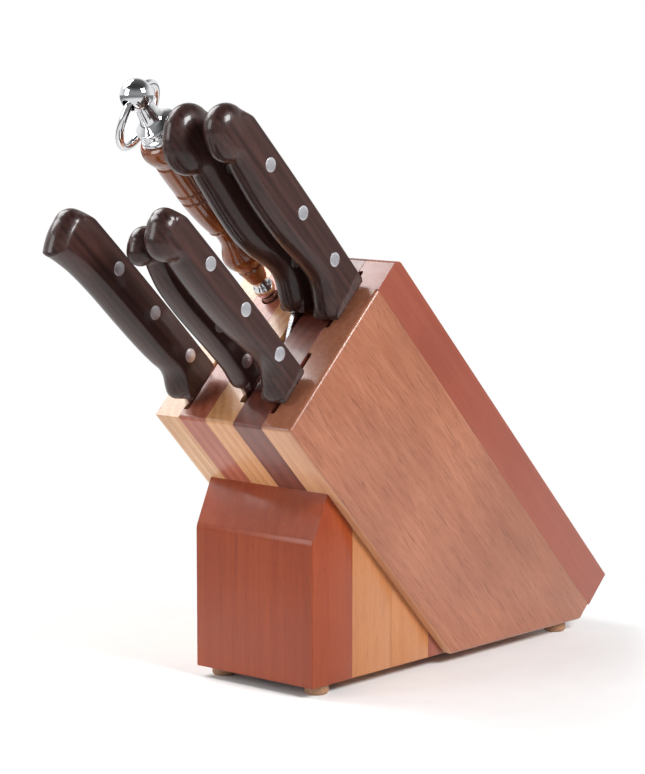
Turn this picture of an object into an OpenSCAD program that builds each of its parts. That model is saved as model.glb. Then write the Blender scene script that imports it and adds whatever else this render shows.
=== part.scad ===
// Slanted kitchen knife block on a wedge foot, with five riveted knives and a sharpening steel.
// Millimetres, +Z up. X runs across the boards and Y from the handles (front) to the back.
// The origin is on the table, in the middle of the whole object's footprint box.

/* [Block] */
// Length of the slotted top face, from its front edge to its back edge
face_len = 114.6; // [110:0.2:120]
// Length of the block measured along the slots
block_len = 265.6; // [250:0.2:280]
// Angle of the slots above the table, in degrees
slot_angle = 46; // [44:1:48]
// Height of the top face's front edge above the block's underside
front_edge_h = 133.5; // [128:0.5:140]
// Width of the red strip glued along the back of the right-hand board
back_strip_w = 21.5; // [15:0.5:28]
// Radius in the closed corners of a routed slot
slot_corner_r = 1.2; // [0.4:0.1:1.4]
// Diameter of the hole for the sharpening steel
steel_bore_d = 10; // [9.5:0.5:12]

/* [Wedge foot] */
// Width of the wedge
wedge_w = 80; // [70:1:86]
// Thickness of each board laminated into the wedge
wedge_board_t = 30.8; // [28:0.1:33]
// Distance from the top face's front edge back to the wedge's front face
wedge_setback = 23.2; // [18:0.1:28]
// Height of the wedge's vertical front face
wedge_front_h = 73.5; // [66:0.5:78]
// Distance down the underside, from the front edge, to the top of the wedge's chamfer
wedge_reach = 50; // [44:1:56]
// Diameter of the two dowels that pin the wedge to the block
dowel_d = 8; // [6:1:10]
// Length of a dowel
dowel_len = 36; // [28:2:40]
// Distance of the dowels down the underside from the front edge
dowel_at = 104; // [102:1:110]

/* [Feet] */
// Diameter of a round foot
foot_d = 12.5; // [11:0.5:15]
// Height of a foot
foot_h = 5.6; // [4.5:0.1:7]
// Radius round a foot's lower edge
foot_edge_r = 1.8; // [0.5:0.1:2.5]
// Distance of the front feet from the centre plane
front_foot_x = 32; // [26:0.5:33]
// Distance of the rear feet from the centre plane
rear_foot_x = 36; // [34:0.5:38]

/* [Knives] */
// Thickness of the blades
blade_t = 2; // [1.6:0.1:2.2]
// Diameter of a handle rivet
rivet_d = 7.6; // [6:0.2:8]
// Distance between a handle's rivets
rivet_pitch = 34; // [31:1:35]
// Thickness of the large handles
handle_t = 16; // [14:0.5:18]

/* [Sharpening steel] */
// Diameter of the steel's rod
rod_d = 8.5; // [7.5:0.1:8.6]
// Length of the rod below the top face
rod_len = 212; // [190:1:220]
// Diameter of the ball finial
finial_d = 16.4; // [15.5:0.1:17]
// Mean radius of the hanging ring
ring_r = 17; // [16.6:0.1:17.4]
// Thickness of the ring's wire
ring_wire_d = 4; // [3.4:0.1:4.2]
// Angle between the ring and the steel's axis where the ring rests on the handle, in degrees
ring_rest = 31.5; // [31:0.5:34]

/* [Hidden] */

$fn = 64;
over = 5;

// The five laminated boards, left to right
board_t = [16.1, 18, 18.7, 19.3, 19.1];
block_w = board_t[0] + board_t[1] + board_t[2] + board_t[3] + board_t[4];
board_x = [for (i = 0, x = -block_w / 2; i < 5; x = x + board_t[i], i = i + 1) x];

// The underside cuts the slanted block where the height above it is zero
underside_front_t = -front_edge_h / sin(slot_angle);
underside_back_s = (block_len * sin(slot_angle) - front_edge_h) / cos(slot_angle);

// Knives: slot centre, spine line, forward lean, gap between the guard end and the top face,
// handle length, waist and pommel below the spine, radius of the pommel's lobe, how far the lobe
// lies below the butt's top, radius of the butt's shoulder, thickness, first rivet and its depth
K_X = 0;
K_SPINE = 1;
K_LEAN = 2;
K_GAP = 3;
K_LEN = 4;
K_WAIST = 5;
K_POMMEL = 6;
K_LOBE_R = 7;
K_DROP = 8;
K_SHOULDER_R = 9;
K_THICK = 10;
K_RIVET = 11;
K_RIVET_DEPTH = 12;
knives = [
    [-28, 30.2, 2.4, 6, 127.4, 22.6, 29, 2.2, 5, 9, handle_t, 18, 7.6],
    [5.2, 33, 0.5, 5, 110.7, 16.8, 20.6, 7.2, 2, 9.2, handle_t - 3, 13, 6.4],
    [28, 35, 1.8, 3, 126.5, 18.2, 23, 11.1, 2, 6.6, handle_t, 20.9, 5.6],
    [5.2, 95.6, 0, 3.5, 134.2, 28.2, 34, 14.8, 3.8, 15, handle_t, 24.5, 10.8],
    [28, 96.4, 0, 2.5, 133.6, 24.2, 26.6, 11.4, 5.6, 12.4, handle_t, 24.2, 8.1]
];

// Belly lines from the guard end up: [distance, depth below the spine]
bellies = [
    [[0, 18.5], [2, 23], [5, 25.8], [8, 26], [12, 24], [16, 21.6], [21, 20.8], [28, 21.8],
        [40, 22.8], [60, 23.4], [85, 23.8], [102, 25], [114, 27.2], [124, 30]],
    [[0, 13.6], [2, 15.8], [5, 16.6], [9, 16.2], [15, 15.6], [30, 16.2], [50, 17.6], [65, 18.2],
        [80, 17.4], [98, 12.7]],
    [[0, 20], [2, 22], [5, 21.6], [8, 19.4], [11, 16.8], [15, 14.2], [20, 12.9], [26, 13],
        [36, 14.8], [48, 17], [62, 18.2], [82, 18.6], [96, 18.2], [112, 17]],
    [[0, 24.5], [2, 26.4], [5, 26.8], [9, 26], [14, 23.6], [19, 21.4], [26, 20.9], [34, 23],
        [44, 26.2], [57, 28.2], [72, 28.2], [86, 27.2], [98, 26.2], [112, 24]],
    [[0, 27], [2, 29], [5, 28.6], [10, 26], [15, 23], [21, 20.9], [28, 20.7], [38, 21.8],
        [52, 23.6], [66, 24.4], [82, 24.2], [96, 23], [112, 21.5]]
];

// Blades: length, heel depth, heel start below the spine, point height, edge curve, thickness
blades = [
    [190, 23, 21, 9, 0.25, blade_t],
    [98, 16, 14.5, 5, 0.55, blade_t],
    [150, 20.5, 18, 6, 0.45, blade_t],
    [203, 43, 25.5, 6, 0.6, blade_t + 0.4],
    [222, 26.5, 24.5, 8, 0.35, blade_t]
];
// Distance of each blade's and tang's top edge below its handle's spine
blade_drop = 0.8;

// Slots: the board that each is routed into, its open side (-1 left, 1 right), its width,
// and where it starts and ends along the top face
slots = [
    [1, -1, 3, 5.5, 44],
    [2, 1, 4, 14, 45],
    [4, -1, 3, 9.5, 49],
    [2, 1, 4, 49, 99],
    [4, -1, 3, 66, 104]
];

// The steel and its hole lean back a little
steel_x = -20.5;
steel_s = 82.3;
steel_lean = -1.7;
steel_bore_depth = 230;
guard_ball_r = 5.6;
guard_ball_t = 6.9;
finial_t = 142.6;
handle_top = 26.5;
handle_bottom = 128.5;
finial_bore_d = 7;
finial_neck_end = 11;
finial_neck_h = 4;
finial_neck_r = [5.2, 4.2];

// Spigots that join the steel's pieces, and how far each reaches from the finial's centre
spigot_d = 6;
rod_spigot_top = 60;
finial_spigot_end = 42;
spigot_clearance = 3;
ball_neck_r = 4.2;
rod_socket = 4;
rod_tip = 4;

// Dowels, screws and the feet's recesses
dowel_x = 18;
screw_d = 3;
screw_head_d = 6.4;
screw_head_h = 1.6;
screw_head_z = 0.4;
front_screw_depth = 12;
rear_screw_depth = 8;
pilot_clearance = 1;
foot_recess_d = 7;
foot_recess_h = 2;

// Heights and footprint
wood_z = foot_h;
front_edge_z = wood_z + front_edge_h;
block_back = face_len * sin(slot_angle) + block_len * cos(slot_angle);
// How far the longest handle reaches in front of the top face's front edge
handle_reach = 90.06;
front_edge_y = (handle_reach - block_back) / 2;
rear_foot_y = 232;
front_foot_y = 35.5;

// Places children drawn with X across, Y up the top face and Z out along the slots
module in_block() {
    translate([0, front_edge_y, front_edge_z])
        rotate([90 - slot_angle, 0, 0])
            children();
}

// Places children drawn with Y back from the top face's front edge and Z up from the wood
module on_foot() {
    translate([0, front_edge_y, wood_z])
        children();
}

// Extrudes an outline of [Y, Z] points from x to x + width
module across(x, width) {
    translate([x, 0, 0])
        rotate([90, 0, 90])
            linear_extrude(width)
                children();
}

// ---- Block boards ----

module board_outline(s0, s1) {
    polygon([
        [s0, 0],
        [s1, 0],
        [s1, -block_len],
        if (s1 > underside_back_s && s0 < underside_back_s) [underside_back_s, -block_len],
        [s0, s0 < underside_back_s
            ? underside_front_t - s0 / tan(slot_angle)
            : -block_len]
    ]);
}

// One routed slot, open on one face of its board and running the whole length of the block
module slot_cut(n) {
    slot = slots[n];
    board = slot[0];
    width = slot[2];
    s0 = slot[3];
    s1 = slot[4];
    r = slot_corner_r;
    open_x = slot[1] < 0 ? board_x[board] : board_x[board] + board_t[board];
    translate([open_x, 0, -block_len - over])
        mirror([slot[1] < 0 ? 0 : 1, 0, 0])
            linear_extrude(block_len + 2 * over)
                union() {
                    translate([-1, s0])
                        square([width + 1 - r, s1 - s0]);
                    translate([-1, s0 + r])
                        square([width + 1, s1 - s0 - 2 * r]);
                    translate([width - r, s0 + r])
                        circle(r);
                    translate([width - r, s1 - r])
                        circle(r);
                }
}

module steel_bore() {
    translate([steel_x, steel_s, 0])
        rotate([steel_lean, 0, 0])
            translate([0, 0, -steel_bore_depth])
                cylinder(d = steel_bore_d, h = steel_bore_depth + over);
}

// Dowels stand square to the block's sloping underside
module dowel_pair(length) {
    for (x = [-dowel_x, dowel_x])
        translate([x, 0, -dowel_at])
            rotate([90, 0, 0])
                cylinder(d = dowel_d, h = length, center = true);
}

module screw_pilots() {
    for (x = [-1, 1]) {
        translate([x * front_foot_x, front_foot_y, -over])
            cylinder(d = screw_d, h = over + front_screw_depth + pilot_clearance);
        translate([x * rear_foot_x, rear_foot_y, -over])
            cylinder(d = screw_d, h = over + rear_screw_depth + pilot_clearance);
    }
}

module block_board(i, s1, tint) {
    color(tint)
        difference() {
            in_block()
                difference() {
                    across(board_x[i], board_t[i])
                        board_outline(0, s1);
                    for (n = [0 : len(slots) - 1])
                        if (slots[n][0] == i)
                            slot_cut(n);
                    if (i == 1)
                        steel_bore();
                    if (i == 1 || i == 3)
                        dowel_pair(dowel_len);
                }
            if (i == 0 || i == 4)
                on_foot()
                    screw_pilots();
        }
}

module block_board_1() {
    block_board(0, face_len, "burlywood");
}

module block_board_2() {
    block_board(1, face_len, "sienna");
}

module block_board_3() {
    block_board(2, face_len, "peru");
}

module block_board_4() {
    block_board(3, face_len, "saddlebrown");
}

module block_board_5() {
    block_board(4, face_len - back_strip_w, "rosybrown");
}

module block_back_strip() {
    color("brown")
        in_block()
            difference() {
                across(board_x[4], board_t[4])
                    board_outline(face_len - back_strip_w, face_len);
                slot_cut(4);
            }
}

// ---- Wedge foot ----

// Height of the block's underside above the wood's base, at a distance back from the front edge
function underside_z(y) = front_edge_h - y * tan(slot_angle);

wedge_top_y = wedge_reach * cos(slot_angle);
wedge_back_y = front_edge_h / tan(slot_angle);

module wedge_outline() {
    polygon([
        [wedge_setback, 0],
        [wedge_setback, wedge_front_h],
        [wedge_top_y, underside_z(wedge_top_y)],
        [wedge_back_y, 0]
    ]);
}

module wedge_board(n, tint) {
    y0 = wedge_setback + (n - 1) * wedge_board_t;
    color(tint)
        difference() {
            on_foot()
                across(-wedge_w / 2, wedge_w)
                    intersection() {
                        wedge_outline();
                        translate([y0, -1])
                            square([wedge_board_t, front_edge_h]);
                    }
            if (n == 1)
                on_foot()
                    screw_pilots();
            if (n == 2)
                in_block()
                    dowel_pair(dowel_len);
        }
}

module wedge_board_1() {
    wedge_board(1, "sienna");
}

module wedge_board_2() {
    wedge_board(2, "burlywood");
}

module wedge_board_3() {
    wedge_board(3, "peru");
}

module wedge_board_4() {
    wedge_board(4, "saddlebrown");
}

module wedge_dowels() {
    color("tan")
        in_block()
            dowel_pair(dowel_len);
}

// ---- Feet ----

// A turned foot with a rounded lower edge and a recess for its screw's head
module foot(x, y) {
    r = foot_d / 2;
    color("tan")
        translate([x, front_edge_y + y, 0])
            difference() {
                rotate_extrude()
                    union() {
                        square([r - foot_edge_r, foot_h]);
                        translate([0, foot_edge_r])
                            square([r, foot_h - foot_edge_r]);
                        translate([r - foot_edge_r, foot_edge_r])
                            circle(foot_edge_r);
                    }
                translate([0, 0, -over])
                    cylinder(d = foot_recess_d, h = over + foot_recess_h);
                cylinder(d = screw_d, h = foot_h + over);
            }
}

module foot_front_left() {
    foot(-front_foot_x, front_foot_y);
}

module foot_front_right() {
    foot(front_foot_x, front_foot_y);
}

module foot_rear_left() {
    foot(-rear_foot_x, rear_foot_y);
}

module foot_rear_right() {
    foot(rear_foot_x, rear_foot_y);
}

// A pan-head screw up through a foot into the wood
module foot_screw(x, y, depth) {
    translate([x, front_edge_y + y, 0]) {
        translate([0, 0, screw_head_z])
            cylinder(d = screw_head_d, h = screw_head_h);
        translate([0, 0, screw_head_z])
            cylinder(d = screw_d, h = foot_h - screw_head_z + depth);
    }
}

module foot_screws() {
    color("silver")
        for (x = [-1, 1]) {
            foot_screw(x * front_foot_x, front_foot_y, front_screw_depth);
            foot_screw(x * rear_foot_x, rear_foot_y, rear_screw_depth);
        }
}

// ---- Knives ----

// Places a knife drawn with its spine along Z, its guard end at z = 0 and its handle upwards
module knife_place(n) {
    in_block()
        translate([knives[n][K_X], knives[n][K_SPINE], knives[n][K_GAP]])
            rotate([knives[n][K_LEAN], 0, 0])
                children();
}

// Smooth curve through [z, depth] points, with slopes taken from each point's neighbours
function slope_at(p, i) =
    let (a = max(i - 1, 0), b = min(i + 1, len(p) - 1))
    (p[b][1] - p[a][1]) / (p[b][0] - p[a][0]);
function span_of(p, z, i = 0) =
    i >= len(p) - 2 || z <= p[i + 1][0] ? i : span_of(p, z, i + 1);
function smooth(p, z) =
    let (
        i = span_of(p, z),
        w = p[i + 1][0] - p[i][0],
        u = min(1, max(0, (z - p[i][0]) / w)),
        a = slope_at(p, i) * w,
        b = slope_at(p, i + 1) * w
    )
    p[i][1] * (1 + 2 * u) * (1 - u) ^ 2 + p[i + 1][1] * u ^ 2 * (3 - 2 * u)
        + a * u * (1 - u) ^ 2 - b * u ^ 2 * (1 - u);

// The pommel is a round lobe below the spine's shoulder, and a straight butt line joins the two
function lobe_y(k) = k[K_LOBE_R] - k[K_POMMEL];
function lobe_z(k) = k[K_LEN] - k[K_DROP] - k[K_LOBE_R];
function shoulder_z(k) = k[K_LEN] - k[K_SHOULDER_R];

// Direction of the butt line's outward normal, from +Z towards +Y
function butt_angle(k) =
    let (
        dy = -k[K_SHOULDER_R] - lobe_y(k),
        dz = shoulder_z(k) - lobe_z(k)
    )
    atan2(dy, dz) - acos((k[K_LOBE_R] - k[K_SHOULDER_R]) / norm([dy, dz]));

// Half the chord of a circle at a distance from its centre
function half_chord(r, d) = sqrt(max(0, r ^ 2 - d ^ 2));

spine_crown = 1.2;
function spine_y(k, z) =
    z > shoulder_z(k)
        ? half_chord(k[K_SHOULDER_R], z - shoulder_z(k)) - k[K_SHOULDER_R]
        : spine_crown * max(0, sin(180 * z / shoulder_z(k)));

function butt_y(k, z) =
    let (
        a = butt_angle(k),
        y0 = lobe_y(k) + k[K_LOBE_R] * sin(a),
        z0 = lobe_z(k) + k[K_LOBE_R] * cos(a),
        y1 = k[K_SHOULDER_R] * (sin(a) - 1),
        z1 = shoulder_z(k) + k[K_SHOULDER_R] * cos(a)
    )
    z < z0 ? lobe_y(k) - half_chord(k[K_LOBE_R], z - lobe_z(k))
    : z < z1 ? y0 + (y1 - y0) * (z - z0) / (z1 - z0)
    : -k[K_SHOULDER_R] - half_chord(k[K_SHOULDER_R], z - shoulder_z(k));

function belly_y(k, belly, z) =
    z > lobe_z(k) ? butt_y(k, z)
    : z > lobe_z(k) - k[K_LOBE_R] ? min(butt_y(k, z), -smooth(belly, z))
    : -smooth(belly, z);

// One ring of the handle: an elliptical belly, flat sides and a lightly rounded spine,
// closing in over the butt as a pillow edge
ring_steps = 5;
edge_r = 1.6;
butt_blend = 8;
bevel_share = 0.24;
max_share = 0.45;
min_spine_flat = 0.3;
function handle_ring(k, belly, z) =
    let (
        to_end = k[K_LEN] - z,
        bevel = bevel_share * k[K_WAIST],
        close = min(1, to_end / bevel),
        half = max(edge_r / 2, k[K_THICK] / 2 * sqrt(1 - (1 - close) ^ 2)),
        top = spine_y(k, z),
        bottom = belly_y(k, belly, z),
        blend = max(0, min(1, 1 - (to_end - k[K_SHOULDER_R]) / butt_blend)),
        belly_h = min(bevel, max_share * (top - bottom)),
        spine_h = min(edge_r + (bevel - edge_r) * blend, max_share * (top - bottom)),
        spine_w = min(edge_r + (half - edge_r) * blend, half - min_spine_flat),
        side = concat(
            [for (i = [0 : ring_steps])
                let (a = 90 * i / ring_steps)
                [half * sin(a), bottom + belly_h * (1 - cos(a))]],
            [for (i = [0 : ring_steps])
                let (a = 90 * i / ring_steps)
                [half - spine_w * (1 - cos(a)), top - spine_h * (1 - sin(a))]]
        )
    )
    concat(
        [for (p = side) [p[0], p[1], z]],
        [for (i = [len(side) - 1 : -1 : 1]) [-side[i][0], side[i][1], z]]
    );

// Rings lie closer together at the guard and over the butt
function handle_stations(k) =
    let (
        body_end = lobe_z(k) - k[K_LOBE_R],
        body_steps = 18,
        butt_steps = 13,
        crowding = 1.25,
        last_angle = 87
    )
    concat(
        [for (i = [0 : body_steps]) body_end * (i / body_steps) ^ crowding],
        [for (i = [1 : butt_steps])
            body_end + (k[K_LEN] - body_end) * sin(last_angle * i / butt_steps)]
    );

// Joins rings of equal length into one closed skin
module skin(rings) {
    n = len(rings[0]);
    last = len(rings) - 1;
    polyhedron(
        points = [for (ring = rings) each ring],
        faces = concat(
            [[for (i = [0 : n - 1]) i]],
            [for (r = [0 : last - 1], i = [0 : n - 1], half = [0, 1])
                let (
                    a = r * n + i,
                    b = r * n + (i + 1) % n,
                    c = a + n,
                    d = b + n
                )
                half == 0 ? [a, c, b] : [b, c, d]],
            [[for (i = [n - 1 : -1 : 0]) last * n + i]]
        )
    );
}

small_handle = 120;
small_pitch = 0.8;
tang_past_rivet = 9;
tang_share = 0.68;
tang_root = 2;
function rivet_y(k) = -k[K_RIVET_DEPTH];
function rivet_z(k, i) =
    k[K_RIVET] + i * rivet_pitch * (k[K_LEN] < small_handle ? small_pitch : 1);
function tang_len(k) = rivet_z(k, 2) + tang_past_rivet;
function tang_depth(k) = tang_share * k[K_WAIST];

module rivet_cylinders(n) {
    k = knives[n];
    for (i = [0 : 2])
        translate([-k[K_THICK] / 2, rivet_y(k), rivet_z(k, i)])
            rotate([0, 90, 0])
                cylinder(d = rivet_d, h = k[K_THICK]);
}

module knife_handle(n) {
    k = knives[n];
    tang_t = blades[n][5];
    color("#3b2220")
        knife_place(n)
            difference() {
                skin([for (z = handle_stations(k)) handle_ring(k, bellies[n], z)]);
                translate([-tang_t / 2, -tang_depth(k), -1])
                    cube([tang_t, tang_depth(k) + over, tang_len(k) + 1]);
                rivet_cylinders(n);
            }
}

module knife_rivets(n) {
    color("gainsboro")
        knife_place(n)
            rivet_cylinders(n);
}

// Blade outline: straight spine dropping to the point, and an edge that rises in one curve
spine_straight = 0.62;
edge_power = 2.4;
point_flat = 0.4;
heel_z = 8;
function blade_points(b) =
    let (
        length = b[0],
        heel = b[1],
        neck = b[2],
        point = b[3],
        rise_from = length * (1 - b[4]),
        steps = 12
    )
    concat(
        [[-blade_drop, 0], [-blade_drop, -spine_straight * length]],
        [for (i = [1 : steps])
            let (u = i / steps)
            [-blade_drop - (point - blade_drop) * u ^ 2,
                -length * (spine_straight + (1 - spine_straight) * u)]],
        [for (i = [steps - 1 : -1 : 0])
            let (u = i / steps)
            [-heel + (heel - point - point_flat) * u ^ edge_power,
                -rise_from - (length - rise_from) * u]],
        [[-heel, -heel_z], [-neck, 0]]
    );

module knife_blade(n) {
    k = knives[n];
    b = blades[n];
    t = b[5];
    color("silver")
        knife_place(n)
            difference() {
                union() {
                    across(-t / 2, t)
                        polygon(blade_points(b));
                    translate([-t / 2, -tang_depth(k), -tang_root])
                        cube([t, tang_depth(k) - blade_drop, tang_len(k) + tang_root]);
                }
                rivet_cylinders(n);
            }
}

module knife_1_blade() {
    knife_blade(0);
}

module knife_1_handle() {
    knife_handle(0);
}

module knife_1_rivets() {
    knife_rivets(0);
}

module knife_2_blade() {
    knife_blade(1);
}

module knife_2_handle() {
    knife_handle(1);
}

module knife_2_rivets() {
    knife_rivets(1);
}

module knife_3_blade() {
    knife_blade(2);
}

module knife_3_handle() {
    knife_handle(2);
}

module knife_3_rivets() {
    knife_rivets(2);
}

module knife_4_blade() {
    knife_blade(3);
}

module knife_4_handle() {
    knife_handle(3);
}

module knife_4_rivets() {
    knife_rivets(3);
}

module knife_5_blade() {
    knife_blade(4);
}

module knife_5_handle() {
    knife_handle(4);
}

module knife_5_rivets() {
    knife_rivets(4);
}

// ---- Sharpening steel ----

// Places the steel drawn with its finial's centre at the origin and its rod along -Z
module steel_place() {
    in_block()
        translate([steel_x, steel_s, 0])
            rotate([steel_lean, 0, 0])
                translate([0, 0, finial_t])
                    children();
}

rod_end = finial_t + rod_len;
ball_z = guard_ball_t - finial_t;

// Bore for the rod's spigot, from below the ball up into the handle
module rod_spigot_bore() {
    translate([0, 0, ball_z - guard_ball_r - over])
        cylinder(d = spigot_d, h = -rod_spigot_top - ball_z + guard_ball_r + over);
}

module steel_rod() {
    color("gray")
        steel_place()
            union() {
                translate([0, 0, -rod_end])
                    cylinder(d1 = rod_tip, d2 = rod_d, h = rod_tip);
                translate([0, 0, rod_tip - rod_end])
                    cylinder(d = rod_d, h = rod_end - rod_tip + ball_z - rod_socket);
                translate([0, 0, ball_z - rod_socket - 1])
                    cylinder(d = spigot_d, h = 1 + rod_socket - ball_z - rod_spigot_top);
            }
}

module steel_guard_ball() {
    color("silver")
        steel_place()
            difference() {
                translate([0, 0, ball_z])
                    union() {
                        sphere(guard_ball_r);
                        cylinder(r = ball_neck_r, h = -handle_bottom - ball_z);
                    }
                translate([0, 0, ball_z - guard_ball_r - over])
                    cylinder(d = rod_d, h = guard_ball_r + over - rod_socket);
                rod_spigot_bore();
            }
}

// Turned profile of the wooden handle, as [distance below the finial, radius]
handle_profile = [
    [26.5, 11.6], [28, 13.2], [31, 14.3], [34, 14.1], [37, 12.9], [39.4, 12.1],
    [40.4, 11.2], [41.4, 12], [47, 11.9], [53, 11.7], [58.6, 11.4],
    [59.6, 10.6], [60.6, 11.5], [64, 11.4], [65, 10.4], [66, 11.3],
    [71, 10.9], [77, 10.2], [83, 9.2], [87.5, 8.2], [88.6, 7.5], [89.8, 7.9],
    [91.2, 6.5], [95, 6], [99, 6.1], [102, 7], [105.5, 8.8], [109, 10],
    [112.5, 9.7], [115.5, 8.4], [117.5, 7.4], [118.5, 6.6], [119.8, 7],
    [123, 6.2], [128.5, 5]
];

module steel_handle() {
    color("chocolate")
        steel_place()
            difference() {
                rotate_extrude()
                    polygon(concat(
                        [[0, -handle_top]],
                        [for (p = handle_profile) [p[1], -p[0]]],
                        [[0, -handle_bottom]]
                    ));
                rod_spigot_bore();
                translate([0, 0, -finial_spigot_end - spigot_clearance])
                    cylinder(d = spigot_d, h = finial_spigot_end + spigot_clearance);
            }
}

// Flared cap: a trumpet rim, a waisted collar and a base ring that sits on the wood
cap_profile = [
    [11, 5.2], [13, 5.6], [15.5, 6.6], [17.5, 8.8], [18.8, 10.6], [19.6, 10.9], [20.4, 10.5],
    [21.2, 9.4], [22.2, 9.1], [23.2, 9.4], [24, 10.5], [25, 11.2], [26, 11], [26.5, 10.5]
];

module steel_cap() {
    color("silver")
        steel_place()
            difference() {
                rotate_extrude()
                    polygon(concat(
                        [[0, -finial_neck_end]],
                        [for (p = cap_profile) [p[1], -p[0]]],
                        [[0, -handle_top]]
                    ));
                translate([0, 0, -finial_spigot_end])
                    cylinder(d = spigot_d, h = finial_spigot_end);
            }
}

// Ball finial on a short neck, with a cross hole for the ring and a spigot down into the wood
module steel_finial() {
    color("silver")
        steel_place()
            difference() {
                union() {
                    sphere(d = finial_d);
                    translate([0, 0, -finial_neck_end])
                        cylinder(r1 = finial_neck_r[0], r2 = finial_neck_r[1], h = finial_neck_h);
                    translate([0, 0, -finial_spigot_end])
                        cylinder(d = spigot_d, h = finial_spigot_end - finial_d / 4);
                }
                rotate([90, 0, 0])
                    cylinder(d = finial_bore_d, h = 2 * finial_d, center = true);
            }
}

// The ring runs through the finial's cross hole and leans against the wooden handle
ring_sag = ring_r - sqrt(ring_r ^ 2 - (finial_d / 2) ^ 2);

module steel_ring() {
    color("silver")
        steel_place()
            rotate([0, ring_rest, 0])
                translate([0, 0, ring_sag / 2 - ring_r])
                    rotate([0, 90, 0])
                        rotate_extrude($fn = 96)
                            translate([ring_r, 0])
                                circle(d = ring_wire_d);
}

block_board_1();
block_board_2();
block_board_3();
block_board_4();
block_board_5();
block_back_strip();
wedge_board_1();
wedge_board_2();
wedge_board_3();
wedge_board_4();
wedge_dowels();
foot_front_left();
foot_front_right();
foot_rear_left();
foot_rear_right();
foot_screws();
knife_1_blade();
knife_1_handle();
knife_1_rivets();
knife_2_blade();
knife_2_handle();
knife_2_rivets();
knife_3_blade();
knife_3_handle();
knife_3_rivets();
knife_4_blade();
knife_4_handle();
knife_4_rivets();
knife_5_blade();
knife_5_handle();
knife_5_rivets();
steel_rod();
steel_guard_ball();
steel_handle();
steel_cap();
steel_finial();
steel_ring();
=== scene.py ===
"""Looks for a slanted knife block with five riveted knives and a sharpening steel."""

import math

import bmesh
import bpy
from mathutils import Matrix, Vector, kdtree


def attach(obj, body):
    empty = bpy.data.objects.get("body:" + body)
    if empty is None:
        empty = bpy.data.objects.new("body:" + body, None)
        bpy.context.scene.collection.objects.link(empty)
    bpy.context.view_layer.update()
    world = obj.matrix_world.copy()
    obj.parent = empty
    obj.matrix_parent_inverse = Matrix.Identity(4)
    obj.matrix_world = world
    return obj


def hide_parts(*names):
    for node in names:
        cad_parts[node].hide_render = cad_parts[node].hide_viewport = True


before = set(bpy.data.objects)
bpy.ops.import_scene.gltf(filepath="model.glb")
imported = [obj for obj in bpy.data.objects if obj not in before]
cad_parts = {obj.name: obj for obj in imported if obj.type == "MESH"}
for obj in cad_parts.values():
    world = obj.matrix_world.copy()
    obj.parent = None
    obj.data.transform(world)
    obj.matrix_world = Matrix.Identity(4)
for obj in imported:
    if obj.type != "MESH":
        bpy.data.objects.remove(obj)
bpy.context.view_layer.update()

MM = 0.001

# ---------------------------------------------------------------- dimensions, in millimetres
SLOT_ANGLE = math.radians(46)
FACE_LEN = 114.6
BLOCK_LEN = 265.6
FRONT_EDGE_H = 133.5
STRIP_W = 21.5
FOOT_H = 5.6
HANDLE_REACH = 90.06
BOARD_T = [16.1, 18.0, 18.7, 19.3, 19.1]
BLOCK_W = sum(BOARD_T)
BOARD_X = [-BLOCK_W / 2 + sum(BOARD_T[:i]) for i in range(6)]
FRONT_EDGE_Z = FOOT_H + FRONT_EDGE_H
BLOCK_BACK = FACE_LEN * math.sin(SLOT_ANGLE) + BLOCK_LEN * math.cos(SLOT_ANGLE)
FRONT_EDGE_Y = (HANDLE_REACH - BLOCK_BACK) / 2

# board index, open side, width, start and end along the top face
SLOTS = [
    (1, -1, 3.0, 5.5, 44.0),
    (2, 1, 4.0, 14.0, 45.0),
    (4, -1, 3.0, 9.5, 49.0),
    (2, 1, 4.0, 49.0, 99.0),
    (4, -1, 3.0, 66.0, 104.0),
]
SLOT_R = 1.2

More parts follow.
